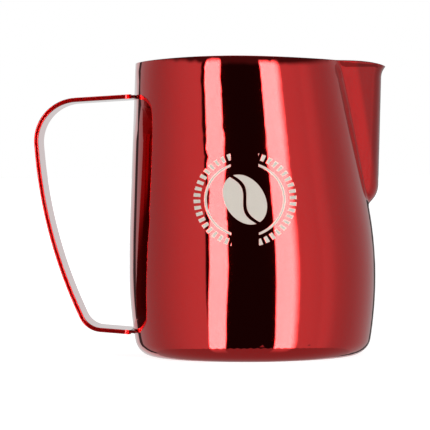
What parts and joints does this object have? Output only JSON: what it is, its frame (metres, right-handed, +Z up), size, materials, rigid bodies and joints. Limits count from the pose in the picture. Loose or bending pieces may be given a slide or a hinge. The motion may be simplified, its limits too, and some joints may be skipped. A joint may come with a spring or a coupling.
{
  "type": "milk frothing pitcher",
  "caption": "Red-coated steel milk frothing pitcher: tapered round cup, pressed V-shaped pouring spout with a curled lip, and an open strap handle welded at both ends.",
  "frame": {"origin": "centre of the flat base, on the surface that the pitcher stands on", "axes": "+Z up, +X towards the spout, -X towards the handle, and the XZ plane halves the pitcher"},
  "size_m": [0.1305, 0.092, 0.11],
  "materials": {
    "red_coat": "translucent red coat over mirror-polished stainless steel, bare satin steel inside",
    "red_strap": "the same red coat on polished flat strip",
    "weld": "coated weld metal, slightly uneven"
  },
  "bodies": {
    "root": {"body_shell": "red_coat", "handle_strap": "red_strap", "upper_weld": "weld", "lower_weld": "weld"}
  },
  "joints": []
}
